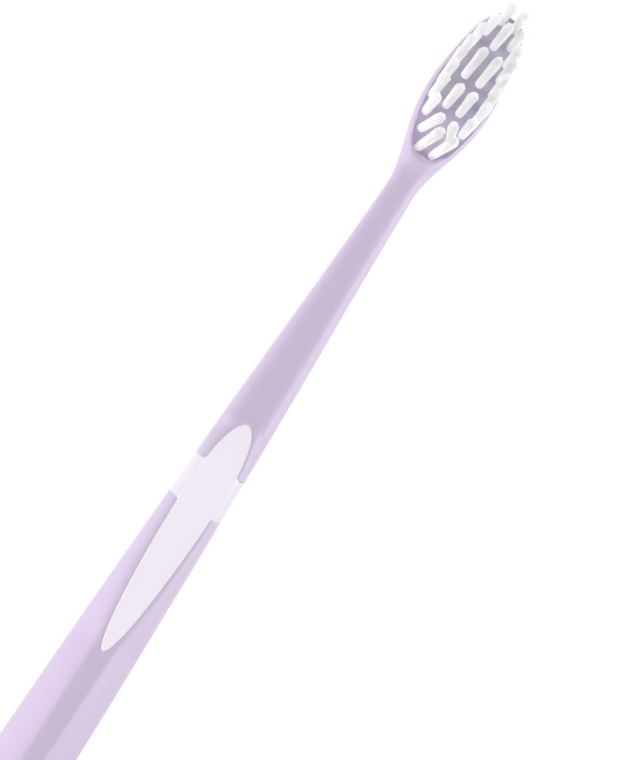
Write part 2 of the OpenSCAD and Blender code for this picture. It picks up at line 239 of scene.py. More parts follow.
class Form:
    """Formulas of the brush's outline, its cross sections and its openings."""
    # Bends of the outline's rounded ends, in the order of the brush: higher is fuller
    head_tip_bend, head_tip_root, shoulder_bend, tail_bend = 1.57, 3.0, 1.16, 2.4
    inlay_up_bend, inlay_down_bend = 2.3, 1.7
    # Place of the almond's widest line, as a share of its length from its upper tip
    inlay_share = 0.318
    # Powers of the cross sections of the head, the neck and the grip
    head_square, neck_square, grip_square = 4.0, 2.3, 2.8
    # Power of the cheeks beside the flat face, and how it rises past a share of the width
    cheek_square, cheek_rise, cheek_share = 1.3, 3.6, 0.33
    # Height of the widest line above the back, as a share of the thickness
    side_share = 0.55
    # Slopes of the outline and of the front's height where the neck starts and at the band
    neck_spread, band_spread, neck_rise, band_rise = 0.045, 0.058, 0.03, 0.045
    # Most of the half width that the flat face takes, its loss of width down the handle, and the
    # power by which it joins the almond's ledge
    bottom_share, face_fade, face_join = 0.72, 0.3, 4
    # Bristle floor: reach past the last row, the arch's length for each unit of it, its bend, and
    # the rim's width at the head's tip for each unit of it
    floor_margin, arch_share, floor_bend, tip_rim_share = 3.0, 1.5, 2.4, 1.5
    # Outer tufts, row by row from the tip: place as a share of the half width, and length
    row_shares = (0.39, 0.575, 0.7, 0.73, 0.745, 0.74, 0.735, 0.685, 0.57, 0.345)
    length_shares = (0.7, 0.63, 0.71, 0.75, 0.79, 0.8, 0.78, 0.66, 0.745, 0.89)
    # Inner tufts: row, place and length. One on the middle line stands alone
    inner_shares = ((6, 0.23, 0.79), (3.87, 0.25, 1.0), (1.5, 0.0, 0.85))
    # Lean of the last row, as a share of the lean of the row before it
    last_lean_share = 0.7
    # Crispness of the flat face's two borders, at the band and at the handle's end
    crisp, crisp_end = 11.0, 9.0
    # Bead: its crest out from the edge, its reach inward and outward from there, and the places
    # before the floor's end where it starts and where it is full
    bead_out, bead_in, bead_reach, bead_start, bead_full = 0.35, 0.95, 2.4, 12.0, 3.0
    # Lip: its crest out from the edge, its reach from there, and its length along the brush
    lip_out, lip_reach, lip_run = 0.95, 0.85, 4.0
    # Lengths of the zones round the bead and the lip outside which they are zero
    bead_before, bead_after, lip_before, lip_after = 14, 4, 3, 1
    # Width of the step from the inlay down to the band
    step_width = 0.35
    # Distance before the floor's end at which its wall starts to slope
    dish_from = 5.0
    # Least width of floor left between the slope's foot and a tuft hole
    hole_margin = 0.12
    # Width of the strip that carries the rounding along each opening
    collar = 0.25
    # Least distances between points along the almond's edge, for the first eight, the next 17 and
    # the rest, and the distance that its curve keeps from the rounded corner
    tip_gap, near_gap, edge_gap, corner_gap = 0.04, 0.12, 0.45, 0.1
    # Distance that the head's plain rows keep from the bristle floor's
    row_gap = 0.02
    # Tuft hole below its mouth: depth of the lip, and widths of throat and bottom as shares
    hole_lip, throat_share, pit_share = 0.12, 0.965, 0.955
    # Filaments: how far they go below the floor, their spread and its spread, how far they stray
    # at their tips, and how unlike their lengths are
    foot, spread, more_spread, stray, unlike = 1.2, 0.24, 0.05, 0.05, 0.12
    # Distance from the tip about which the painted shade between the tufts fades out, and how far
    # before and after it the fade starts and ends
    shaded_to, shade_fade = 23.0, 3.0
    # Distances from the head's tip, back and forward, between which the painted glow of the
    # bristles fades out
    glow_back, glow_ahead = 10.0, 6.0

    def __init__(self, sizes, bristles):
        s = self.s = sizes
        self.b = bristles
        self.long = s.head_len + s.neck_len + s.band_len + s.handle_len
        self.tip_x = self.long / 2
        self.band_at = s.head_len + s.neck_len
        self.band_end_at = self.band_at + s.band_len
        self.grip_at = self.long - s.tail_len
        self.inlay_at = self.band_at - s.inlay_up
        self.inlay_end_at = self.band_end_at + s.inlay_down
        self.wide_at = self.inlay_at + self.inlay_share * (self.inlay_end_at - self.inlay_at)
        self.face_at = self.inlay_at - s.face_ledge
        self.floor_at = self.tip_rim_share * s.rim_w
        self.floor_z = s.head_h - s.floor_drop
        last_row = bristles.first_row + (len(self.row_shares) - 1) * bristles.row_pitch
        self.floor_end = last_row + self.floor_margin
        self.arch = self.arch_share * self.floor_margin
        self.lean_tan = math.tan(s.band_lean)
        self.floor_path = self.floor_edge()
        self.almond_path = np.stack(self.almond_line(self.inlay_at, self.inlay_up_bend, 40), 1)
        self.band_z = float(self.side(np.array(self.band_at)))
        self.bed_z = float(self.top(np.array([self.wide_at]), np.array([0.0]))[0]) - s.inlay_t

    def shoulder(self, d):
        """Share of the way from the head's widest place to the neck's slimmest."""
        return np.clip((d - self.s.head_front) / (self.s.head_len - self.s.head_front), 0, 1)

    def profile(self, d, at_neck, at_band, at_grip, neck_slope, band_slope):
        """A measure along the neck and the grip: two cubics that meet at the band in one slope."""
        neck, grip = self.s.neck_len, self.grip_at - self.band_at
        t_neck = np.clip((d - self.s.head_len) / neck, 0, 1)
        t_grip = np.clip((d - self.band_at) / grip, 0, 1)
        return np.where(d < self.band_at,
                        cubic(t_neck, neck, at_neck, at_band, neck_slope, band_slope),
                        cubic(t_grip, grip, at_band, at_grip, band_slope, 0))

    def half(self, d):
        """Half the width: an ellipse, a squared cosine, two cubics and a rounded end in turn."""
        s = self.s
        narrowed = np.cos(QUARTER * self.shoulder(d) ** self.shoulder_bend) ** 2
        return np.select(
            [d < s.head_front, d < s.head_len, d < self.grip_at],
            [s.head_w / 2 * end_share(d / s.head_front, self.head_tip_bend, self.head_tip_root),
             s.neck_w / 2 + (s.head_w - s.neck_w) / 2 * narrowed,
             self.profile(d, s.neck_w, s.band_w, s.grip_w, self.neck_spread, self.band_spread) / 2],
            s.grip_w / 2 * end_share((self.long - d) / s.tail_len, self.tail_bend))

    def front(self, d):
        """Height of the crown: a smooth step and two cubics."""
        s = self.s
        head = s.head_h + (s.neck_top - s.head_h) * ease(self.shoulder(d))
        rest = self.profile(d, s.neck_top, s.band_h, s.grip_h, self.neck_rise, self.band_rise)
        return np.where(d < s.head_len, head, rest)

    def back(self, d):
        """Height of the back, below zero where it is cut flat."""
        s = self.s
        tall = s.neck_lift + s.back_flat
        up = -s.back_flat + tall * ease(self.shoulder(d))
        down = s.neck_lift - tall * ease((d - s.head_len) / s.neck_len)
        return np.where(d < s.head_len, up, down)

    def side(self, d):
        """Height of the widest line, a fixed share of the thickness above the back."""
        return self.back(d) + self.side_share * (self.front(d) - self.back(d))

    def height_share(self, d):
        """Share of the height left in the two rounded ends."""
        round_tip = self.s.head_h / 2
        return np.where(d < round_tip, end_share(d / round_tip, 2),
                        end_share((self.long - d) / self.s.tail_len, self.tail_bend))

    def square(self, d):
        """Power of the cross section: 2 is round, and higher is squarer."""
        s = self.s
        head = self.head_square + (self.neck_square - self.head_square) * ease(self.shoulder(d))
        rest = self.neck_square + (self.grip_square - self.neck_square) * ease(
            (d - s.head_len) / s.neck_len)
        return np.where(d < s.head_len, head, rest)

    def front_square(self, d):
        """The same for the front alone, which rises with the share of the width that is flat."""
        into = ease((d - self.face_at) / (self.s.inlay_w / 2))
        face = self.face_half(d) / np.maximum(self.half(d), TINY)
        cheek = self.cheek_square + self.cheek_rise * np.maximum(0, face - self.cheek_share)
        return (1 - into) * self.square(d) + into * cheek

    def inlay_half(self, d):
        """Half the width of the almond, a rounded end from each tip to its widest place."""
        up = end_share((d - self.inlay_at) / (self.wide_at - self.inlay_at), self.inlay_up_bend)
        down = end_share((self.inlay_end_at - d) / (self.inlay_end_at - self.wide_at),
                         self.inlay_down_bend)
        inside = (d >= self.inlay_at) & (d <= self.inlay_end_at)
        return np.where(inside, self.s.inlay_w / 2 * np.where(d < self.wide_at, up, down), 0.0)

    def floor_half(self, d):
        """Half the width of the bristle floor: the outline less the rim, closed by an arch."""
        arch = end_share((self.floor_end - d) / self.arch, self.floor_bend)
        tip = end_share((d - self.floor_at) / self.floor_at, 2)
        return np.maximum(0.0, self.half(d) - self.s.rim_w * tip) * arch * tip

    def face_half(self, d):
        """Half the width of the flat face: the almond and its ledge, then the plain strip below."""
        s = self.s
        up = (s.inlay_w / 2 + s.face_ledge) * end_share(
            (d - self.face_at) / (self.wide_at - self.face_at), self.inlay_up_bend)
        almond = self.inlay_half(d)
        almond = np.where(almond > 0, almond + s.face_ledge, 0.0)
        plain = s.face_half * (1 - self.face_fade * ease(
            (d - self.inlay_end_at) / (self.grip_at - self.inlay_end_at)))
        plain = plain * ease((d - self.wide_at) / (self.inlay_end_at - self.wide_at))
        join = self.face_join
        down = np.minimum((almond ** join + plain ** join) ** (1 / join),
                          self.bottom_share * self.half(d))
        return np.where(d < self.wide_at, up, down)

    def arch_line(self, count):
        """Places along the brush of points round the bristle floor's arch, from its middle out."""
        a = np.linspace(0, QUARTER, count)
        return self.floor_end - self.arch * (1 - np.cos(a) ** (2 / self.floor_bend))

    def floor_edge(self):
        """Line along the last part of the bristle floor's edge, to the middle of its arch."""
        ends = self.arch_line(30)
        plain = np.linspace(self.floor_end - self.bead_before, ends.min(), 24)[:-1]
        line = np.concatenate([plain, ends[::-1]])
        return np.stack([line, self.floor_half(line)], 1)

    def almond_line(self, tip, bend, count):
        """Points round one end of the almond, from its tip to its widest place.

        They follow d = wide + (tip - wide) cos(a)^(2 / bend) and y = half width sin(a)."""
        a = np.linspace(0, QUARTER, count)
        return (self.wide_at + (tip - self.wide_at) * np.cos(a) ** (2 / bend),
                self.s.inlay_w / 2 * np.sin(a))

    def raised(self, d, y):
        """Bead round the bristle floor's arched end and lip round the inlay's upper tip.

        Each is a squared cosine over the distance to its edge, and fades along the brush."""
        s = self.s
        out = np.zeros_like(d)
        near = (d > self.floor_end - self.bead_before) & (d < self.floor_end + self.bead_after)
        if near.any():
            gap = distance_to(self.floor_path, d[near], np.abs(y[near]))
            grow = ease((d[near] - self.floor_end + self.bead_start)
                        / (self.bead_start - self.bead_full))
            past = gap - self.bead_out
            wave = np.clip(np.where(past < 0, past / self.bead_in, past / self.bead_reach), -1, 1)
            out[near] = s.bead_h * grow * np.cos(QUARTER * wave) ** 2
        near = ((d > self.inlay_at - self.lip_before)
                & (d < self.inlay_at + self.lip_run + self.lip_after))
        if near.any():
            gap = distance_to(self.almond_path, d[near], np.abs(y[near]))
            grow = 1 - ease((d[near] - self.inlay_at) / self.lip_run)
            wave = np.clip((gap - self.lip_out) / self.lip_reach, -1, 1)
            inside = np.abs(y[near]) < self.inlay_half(d[near])
            out[near] += np.where(inside, 0, s.lip_h * grow * np.cos(QUARTER * wave) ** 2)
        return out

    def top(self, d, y):
        """Height of the front at (d, y): a power curve across, cut level over the flat face, plus
        what is raised. The cut is a soft largest value of |y| and the face's half width."""
        n, half = self.front_square(d), np.maximum(self.half(d), TINY)
        u = np.minimum(np.abs(y) / half, 1.0)
        flat = self.face_half(d) / half
        p = self.crisp + (self.crisp_end - self.crisp) * ease(
            (d - self.wide_at) / (self.inlay_end_at + self.s.tail_len - self.wide_at))
        reach = np.minimum((u ** p + flat ** p) ** (1 / p), 1.0)
        across = np.maximum(0.0, 1 - reach ** n) ** (1 / n) / (1 - flat ** n) ** (1 / n)
        crown = self.side(d) + self.height_share(d) * (self.front(d) - self.side(d)) * across
        return crown + self.raised(d, y)

    def around(self, nominal, lean, y0, turns):
        """Half sections from y0 on the front round the side to the middle of the back.

        A point's polar angle, in the section scaled to a unit power curve, runs evenly over turns:
        0 to 1 is from y0 to the widest line, and 1 to 2 from there to the back. Where lean is above
        zero the section leans, so that d grows with height."""
        d = np.repeat(nominal[:, None], len(turns), 1)
        y0 = np.broadcast_to(y0[:, None], d.shape)
        front = turns <= 1
        # A leaning row's place depends on its heights, so both are found in a few steps
        for _ in range(4):
            half = np.maximum(self.half(d), TINY)
            n = np.where(front, self.front_square(d), self.square(d))
            ratio = np.clip(y0 / half, 0, 0.999)
            start = np.arctan2(ratio, (1 - ratio ** n) ** (1 / n))
            angle = np.where(front, start + (QUARTER - start) * turns, QUARTER * turns)
            reach = (np.abs(np.sin(angle)) ** n + np.abs(np.cos(angle)) ** n) ** (-1 / n)
            y, up = half * reach * np.sin(angle), reach * np.cos(angle)
            y[:, -1] = 0.0
            side, tall = self.side(d), self.height_share(d)
            low = side + tall * (side - self.back(d)) * up
            z = np.where(up > 1e-9, self.top(d, y), low)
            d = nominal[:, None] + lean[:, None] * (z - self.band_z) * self.lean_tan
        return d, y, np.maximum(z, 0.0)

    def tufts(self):
        """Each tuft as d, y, lean and share of the full length, in the order of the nodes' names.

        The last row leans to the right as a pair, and the two tufts of the row before it inward."""
        b, rows = self.b, []
        leans = {len(self.row_shares) - 1: (self.last_lean_share, self.last_lean_share),
                 len(self.row_shares) - 2: (1, -1)}
        outer = [(i, *pair) for i, pair in enumerate(zip(self.row_shares, self.length_shares))]
        for i, part, share in outer + list(self.inner_shares):
            d = b.first_row + i * b.row_pitch
            half = float(self.half(np.array(d)))
            for side, lean in list(zip((1, -1), leans.get(i, (0, 0))))[:2 if part else 1]:
                rows.append((d, side * part * half, b.row_lean * lean, share))
        return rows


class Skin:
    """Collects grids of points on the +y half, mirrors them, and makes one closed mesh."""

    def __init__(self, form):
        self.form = form
        self.points, self.faces, self.count = [], [], 0
        self.polygons = []

    def grid(self, d, y, z):
        """Adds a grid of quads and gives the numbers of its points."""
        rows, cols = d.shape
        ids = np.arange(rows * cols).reshape(rows, cols) + self.count
        quads = np.stack([ids[:-1, :-1], ids[:-1, 1:], ids[1:, 1:], ids[1:, :-1]], -1)
        self.points.append(np.stack([d, y, z], -1).reshape(-1, 3))
        self.faces.append(quads.reshape(-1, 4))
        self.count += rows * cols
        return ids

    def polygon(self, ids):
        """Adds one flat face of many corners."""
        self.polygons.append([int(i) for i in ids])

    def build(self, name, extra=None):
        """Makes the object: the half and its mirror image, welded, with normals outward.

        Extra points and faces, made for both sides, are added as they are."""
        half = np.concatenate(self.points)
        both = np.concatenate([half, half * (1, -1, 1)])
        quads = np.concatenate(self.faces)
        quads = np.concatenate([quads, quads[:, ::-1] + len(half)])
        faces = [list(q) for q in quads.tolist()]
        faces += self.polygons + [[i + len(half) for i in p[::-1]] for p in self.polygons]
        if extra is not None:
            points, more = extra
            faces += [[i + len(both) for i in f] for f in more]
            both = np.concatenate([both, points])
        both[:, 0] = self.form.tip_x - both[:, 0]
        return solid(name, both * MM, faces)


def placed(data):
    """A new object at the origin that shows a mesh, or holds a lamp or a camera."""
    made = bpy.data.objects.new(data.name, data)
    bpy.context.scene.collection.objects.link(made)
    return made


def solid(name, points, faces):
    """A mesh object at the origin: doubles merged, empty faces removed, normals outward."""
    mesh = bpy.data.meshes.new(name)
    mesh.from_pydata(points.tolist(), [], faces)
    work = bmesh.new()
    work.from_mesh(mesh)
    bmesh.ops.remove_doubles(work, verts=work.verts, dist=WELD * MM)
    bmesh.ops.dissolve_degenerate(work, edges=work.edges, dist=WELD * MM / 4)
    bmesh.ops.recalc_face_normals(work, faces=work.faces)
    for face in work.faces:
        face.smooth = True
    for edge in work.edges:
        edge.smooth = len(edge.link_faces) == 2 and edge.calc_face_angle(0) < SHARP
    loose = [v for v in work.verts if not v.link_faces]
    bmesh.ops.delete(work, geom=loose, context="VERTS")
    open_edges = sum(1 for e in work.edges if len(e.link_faces) != 2)
    work.to_mesh(mesh)
    work.free()
    if open_edges:
        print(f"{name}: {open_edges} edges don't join two faces")
    return placed(mesh)


def circle(sides):
    """Points evenly round a circle of radius 1."""
    angle = np.arange(sides) * 2 * math.pi / sides
    return np.stack([np.cos(angle), np.sin(angle)], 1)


def ring_faces(first, sides, rings):
    """Quads between rings of points that follow one another from the point numbered first."""
    starts = first + np.arange(rings - 1)[:, None] * sides
    i = np.arange(sides)
    n = (i + 1) % sides
    quads = np.stack([starts + i, starts + n, starts + n + sides, starts + i + sides], -1)
    return quads.reshape(-1, 4).tolist()


def fan_faces(first, sides, centre):
    """Triangles from a ring of points to the point numbered centre."""
    return [[first + i, first + (i + 1) % sides, centre] for i in range(sides)]


def dress(piece, material, slot, *nodes):
    """Gives a piece its material, hides the model's nodes that it stands for, and rides it on the
    body. The slot is not used.
    """
    piece.data.materials.append(material)
    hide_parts(*nodes)
    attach(piece, BODY)
    return piece


class Opening:
    """Edge of an opening in the front: its points, the way out from each, and each row's lean."""

    def __init__(self, d, y, lean):
        self.d, self.y, self.lean = d, y, lean
        along_d, along_y = np.gradient(d), np.gradient(y)
        size = np.maximum(np.hypot(along_d, along_y), TINY)
        self.out_d, self.out_y = -along_y / size, along_d / size

    def end(self, row, out_d):
        """Fixes the way out at a tip or corner, where the edge runs straight across."""
        self.out_d[row], self.out_y[row] = out_d, 0.0


def edge_offsets(form, radius):
    """Offsets from an edge across its rounding and its collar, and the drop at each.

    The rounding is a quarter circle, and the collar beyond it has no drop."""
    a = np.linspace(0, QUARTER, 5)
    offset = np.append(radius * (1 - np.cos(a)), max(radius, form.collar))
    drop = np.append(radius * (1 - np.sin(a)), 0.0)
    return offset, drop


def front_turns():
    """Shares of turn for a half section, closer together near its start.

    There are 26 steps to its widest line and 16 more to the middle of its back."""
    return np.concatenate([np.linspace(0, 1, 27) ** 1.25, 1 + np.linspace(0, 1, 17)[1:]])


def thinned(form, d, y):
    """Numbers of the points to keep on a line, which may stand closer together at its start."""
    least = [form.tip_gap] * 8 + [form.near_gap] * 17 + [form.edge_gap] * len(d)
    keep = [0]
    for i in range(1, len(d)):
        if math.hypot(d[i] - d[keep[-1]], y[i] - y[keep[-1]]) > least[i]:
            keep.append(i)
    return keep


def almond_rows(form, upper, at_plane, gap):
    """Edge of one end of the almond up to the band's leaning face, with its rounded corner.

    Within fork_round of the face it turns outward on a quarter circle. A gap moves it outward."""
    tip = form.inlay_at if upper else form.inlay_end_at
    bend = form.inlay_up_bend if upper else form.inlay_down_bend
    sign = 1 if upper else -1
    radius = form.s.fork_round
    # The leaning face meets the front's edge where its height says, found in a few steps
    plane_d = at_plane
    for _ in range(4):
        corner = np.array([plane_d])
        edge_z = form.top(corner, form.inlay_half(corner) + radius)[0]
        plane_d = at_plane + (edge_z - form.band_z) * form.lean_tan
    stop = plane_d - sign * radius
    d, y = form.almond_line(tip, bend, 90 if upper else 110)
    ahead = sign * (stop - d) > form.corner_gap
    d, y = d[ahead], y[ahead]
    keep = thinned(form, d, y)
    d, y = d[keep], y[keep]
    beta = np.linspace(0, QUARTER, 9)
    corner_d = plane_d - sign * radius * (1 - np.sin(beta))
    corner_y = form.inlay_half(corner_d) + radius * (1 - np.cos(beta))
    # The rows stand upright at the tip and lean as the face does from the corner on
    run = np.abs(d - tip) / abs(corner_d[0] - tip)
    lean = np.concatenate([ease(run), np.ones(len(beta))])
    opening = Opening(np.concatenate([d, corner_d]), np.concatenate([y, corner_y]), lean)
    opening.out_d, opening.out_y = sign * opening.out_d, sign * opening.out_y
    opening.end(0, -sign)
    opening.end(-1, -sign)
    opening.d = opening.d + gap * opening.out_d
    opening.y = np.maximum(0.0, opening.y + gap * opening.out_y)
    return opening


def rounded_edge(form, opening, radius, way=1):
    """Points across the rounding of an opening's edge.

    Each stands off the edge along its way out, or in where way is -1, at the height of the front
    less the drop."""
    offset, drop = edge_offsets(form, radius)
    d = opening.d[:, None] + way * opening.out_d[:, None] * offset
    y = np.maximum(0.0, opening.y[:, None] + way * opening.out_y[:, None] * offset)
    return d, y, form.top(d, y) - drop


def opening_strips(form, opening, radius, way=1, rise=0.0):
    """Flat bottom, wall and rounded edge of an opening or of the inlay, from the middle line out.

    The rounding stands higher by the rise."""
    d, y, z = rounded_edge(form, opening, radius, way)
    z = z + rise
    low_z = np.full(len(d), form.bed_z)
    low_d = opening.d + opening.lean * (low_z - z[:, 0]) * form.lean_tan
    change = form.inlay_half(low_d) - form.inlay_half(opening.d)
    low_y = np.maximum(0.0, opening.y + np.where(opening.lean > 0, change, 0.0))
    return (np.column_stack([low_d, low_d, d]), np.column_stack([0 * low_y, low_y, y]),
            np.column_stack([low_z, low_z, z]))


def tip_rows(form, stop):
    """Places of the head's plain rows, closer together toward the tip, that stay clear of stop."""
    rows = form.s.head_front * (1 - np.cos(np.linspace(0, QUARTER, 60)))
    return rows[rows < stop - form.row_gap]


def floor_opening(form):
    """Edge of the bristle floor from the head's tip to its arched end."""
    first = form.floor_at * (2 - np.cos(np.linspace(0, QUARTER, 12)))
    last = form.arch_line(22)
    middle = np.linspace(first[-1], last.min(), 62)[1:-1]
    d = np.concatenate([first, middle, np.sort(last)])
    opening = Opening(d, form.floor_half(d), np.zeros(len(d)))
    opening.end(0, -1)
    opening.end(-1, 1)
    return opening


def dish_strip(form, floor, radius):
    """Wall of the bristle floor and its rounded edge.

    Upright along the sides. Toward the arched end the wall becomes a slope that levels off: what it
    lacks in height falls with the square of the distance left to its crown."""
    d, y, z = rounded_edge(form, floor, radius)
    run = form.s.dish_run * ease((floor.d - form.floor_end + form.dish_from) / form.dish_from)
    # The slope's foot stays clear of the tuft holes
    holes = np.array([place[:2] for place in form.tufts()])
    away = np.hypot(floor.d[:, None] - holes[:, 0], floor.y[:, None] - holes[:, 1]).min(1)
    run = np.minimum(run, np.maximum(0.0, away - form.b.hole_d / 2 - form.hole_margin))
    # Rows of the slope, as shares of the way from its foot to its crown
    part = np.array([0, 0.12, 0.28, 0.46, 0.64, 0.82])
    back = run[:, None] * (1 - part)
    slope_d = floor.d[:, None] - floor.out_d[:, None] * back
    slope_y = np.maximum(0.0, floor.y[:, None] - floor.out_y[:, None] * back)
    slope_z = form.floor_z + (z[:, :1] - form.floor_z) * (1 - (1 - part) ** 2)
    return (np.concatenate([slope_d, d], 1), np.concatenate([slope_y, y], 1),
            np.concatenate([slope_z, z], 1))


def inset(d, y, z, amount):
    """Moves a section's points inward by amount, along the section's own normal."""
    run_y, run_z = np.gradient(y, axis=1), np.gradient(z, axis=1)
    size = np.maximum(np.hypot(run_y, run_z), TINY)
    amount = np.asarray(amount)[:, None]
    return d, np.maximum(0.0, y + amount * run_z / size), z - amount * run_y / size


def plain_rows(d):
    """Starting points, as d, y, z and lean, of upright rows on the middle line."""
    return d, 0 * d, 0 * d, 0 * d


def rows_beside(strip, opening):
    """Starting points of the rows that go on from the strips of an opening."""
    return strip[0][:, -1], strip[1][:, -1], strip[2][:, -1], opening.lean


def wrap(skin, parts, strip, *more):
    """Outer skin of a moulding, from parts of starting points, that joins up with its strips.

    More strips may come before the one at the inlay, whose end is closed at the band."""
    form = skin.form
    turns = front_turns()
    d0, y0, z0, lean = (np.concatenate(part) for part in zip(*parts))
    nominal = d0 - lean * (z0 - form.band_z) * form.lean_tan
    skin.grid(*form.around(nominal, lean, y0, turns))
    for other in more:
        skin.grid(*other)
    close_at_band(skin, strip, skin.grid(*strip), turns)


def head_and_neck(form):
    """Lilac head and neck: plain rows, the bristle floor's opening, the neck, the inlay's."""
    s, skin = form.s, Skin(form)
    floor = floor_opening(form)
    almond = almond_rows(form, True, form.band_at, s.seam)
    before = tip_rows(form, floor.d[0] - form.collar)
    dish = dish_strip(form, floor, s.edge_round)
    strip = opening_strips(form, almond, s.edge_round)
    neck = np.linspace(dish[0][-1, -1], strip[0][0, -1], 86)[1:-1]
    parts = [plain_rows(before), rows_beside(dish, floor), plain_rows(neck),
             rows_beside(strip, almond)]
    wrap(skin, parts, strip, dish)
    plate = floor_plate(form, dish[0][:, 0], dish[1][:, 0])
    return skin.build("head_and_neck_shell", extra=plate)


def joined(skin, made, inner):
    """Adds rows that start at the points inner and gives the numbers of their points."""
    d, y, z = made
    d[:, 0], y[:, 0], z[:, 0] = inner
    return skin.grid(d, y, np.maximum(z, 0.0))


def close_rim(skin, made, inner, bed):
    """Joins a rim's rows to the opening's last row and closes the rim with a flat face."""
    ids = joined(skin, made, inner)
    skin.polygon(list(ids[-1]) + [bed[-1, 0], bed[-1, 1]])


def close_at_band(skin, strip, bed, turns):
    """Rounds a moulding's rim at the band's leaning face and closes it."""
    form = skin.form
    drop = edge_offsets(form, form.s.edge_round)[1][::-1]
    # The rim's rows stand as far along the brush as the opening's last row does
    inner = [part[-1, :1:-1] for part in strip]
    rows = inner[0] - (inner[2] + drop - form.band_z) * form.lean_tan
    made = form.around(rows, np.ones(len(rows)), np.full(len(rows), inner[1][0]), turns)
    close_rim(skin, inset(*made, drop), inner, bed)


def floor_plate(form, edge_d, edge_y):
    """The bristle floor: a flat plate cut by circles, and a tube for each tuft hole."""
    b, sides = form.b, 28
    edge = list(zip(edge_d.tolist(), edge_y.tolist()))
    edge += [(d, -y) for d, y in edge[-2:0:-1]]
    verts = [Vector(p) for p in edge]
    edges = [(i, (i + 1) % len(edge)) for i in range(len(edge))]
    ring, mouth = circle(sides), b.hole_d / 2
    holes = form.tufts()
    for d, y, _, _ in holes:
        first = len(verts)
        verts += [Vector(p) for p in ring * mouth + (d, y)]
        edges += [(first + i, first + (i + 1) % sides) for i in range(sides)]
    flat, _, tris, _, _, _ = delaunay_2d_cdt(verts, edges, [], 1, TINY)
    points = [(p.x, p.y, form.floor_z) for p in flat]
    centres = np.array([hole[:2] for hole in holes])
    faces = []
    # The triangles between the holes, whose middles lie in none of the circles
    for tri in tris:
        middle = np.mean([points[i][:2] for i in tri], 0)
        if np.hypot(*(centres - middle).T).min() > mouth * 0.99:
            faces.append(list(tri))
    # Each hole: its mouth, a slightly narrower throat and its bottom
    throat = ((0, mouth), (form.hole_lip, mouth * form.throat_share),
              (b.hole_depth, mouth * form.pit_share))
    for d, y, lean, _ in holes:
        first = len(points)
        for depth, radius in throat:
            middle = (d, y + depth * math.tan(lean))
            points += [(*p, form.floor_z - depth) for p in ring * radius + middle]
        points.append((d, y + b.hole_depth * math.tan(lean), form.floor_z - b.hole_depth))
        faces += ring_faces(first, sides, len(throat))
        faces += fan_faces(first + (len(throat) - 1) * sides, sides, first + len(throat) * sides)
    return np.array(points), faces


def handle(form):
    """Lilac handle: the lower part of the inlay's opening, then plain rows to the rounded end."""
    s, skin = form.s, Skin(form)
    almond = almond_rows(form, False, form.band_end_at, s.seam)
    strip = opening_strips(form, almond, s.edge_round)
    after = np.linspace(strip[0][0, -1], form.grip_at, 44)[1:-1]
    tail = form.grip_at + s.tail_len * np.sin(np.linspace(0, QUARTER, 34))
    beside = [part[::-1] for part in rows_beside(strip, almond)]
    wrap(skin, [beside, plain_rows(np.concatenate([after, tail]))], strip)
    return skin.build("handle_shell")


def core(form):
    """Pale core: the almond's two ends with rounded edges, and the band that joins them.

    The almond stands above the flat face by the inlay's rise, and the band steps down beside it."""
    s, skin = form.s, Skin(form)
    turns = front_turns()
    across = np.linspace(0, 1, 13)
    ends = []
    for upper, plane in ((True, form.band_at), (False, form.band_end_at)):
        almond = almond_rows(form, upper, plane, 0.0)
        strip = opening_strips(form, almond, s.inlay_round, -1, s.inlay_rise)
        bed = skin.grid(*strip)
        # From the middle of the front out to the strip
        d = np.repeat(strip[0][:, -1:], len(across), 1)
        y = strip[1][:, -1:] * across
        skin.grid(d, y, form.top(d, y) + s.inlay_rise)
        ends.append((strip, bed, d[-1], y[-1]))
    (_, _, up_d, up_y), (_, _, low_d, low_y) = ends
    # Top of the band, between the two ends' last rows
    t = np.linspace(0, 1, 20)[:, None]
    d = up_d + (low_d - up_d) * t
    y = (up_y[-1] + (low_y[-1] - up_y[-1]) * ease(t)) * across
    z = form.top(d, y) + s.inlay_rise
    skin.grid(d, y, z)
    # Sides and back of the band
    nominal = d[:, -1] - (z[:, -1] - s.inlay_rise - form.band_z) * form.lean_tan
    side = band_rows(form, nominal, y[:, -1], np.zeros(len(nominal)), turns)
    joined(skin, side, (d[:, -1], y[:, -1], z[:, -1]))
    for strip, bed, _, _ in ends:
        band_rim(skin, strip, bed, turns)
    return skin.build("core_inlay")


def band_rows(form, nominal, y0, drop, turns):
    """Leaning rows of the band, inset by its sink and by the drop.

    Next to the almond they are lifted to its top, fading out over the step's width."""
    s = form.s
    made = form.around(nominal, np.ones(len(nominal)), y0, turns)
    d, y, z = inset(*made, drop + s.core_sink)
    part = 1 - ease((y - y[:, :1]) / form.step_width)
    part = np.where(z > form.band_z, part, 0.0)
    return d, y, z + (s.inlay_rise + s.core_sink) * part


def band_rim(skin, strip, bed, turns):
    """Rounds the band's rim at one leaning face and closes it."""
    form, s = skin.form, skin.form.s
    drop = edge_offsets(form, s.edge_round)[1][::-1]
    inner = [part[-1, :1:-1] for part in strip]
    rows = inner[0] - (inner[2] + drop - s.inlay_rise - form.band_z) * form.lean_tan
    close_rim(skin, band_rows(form, rows, inner[1], drop, turns), inner, bed)


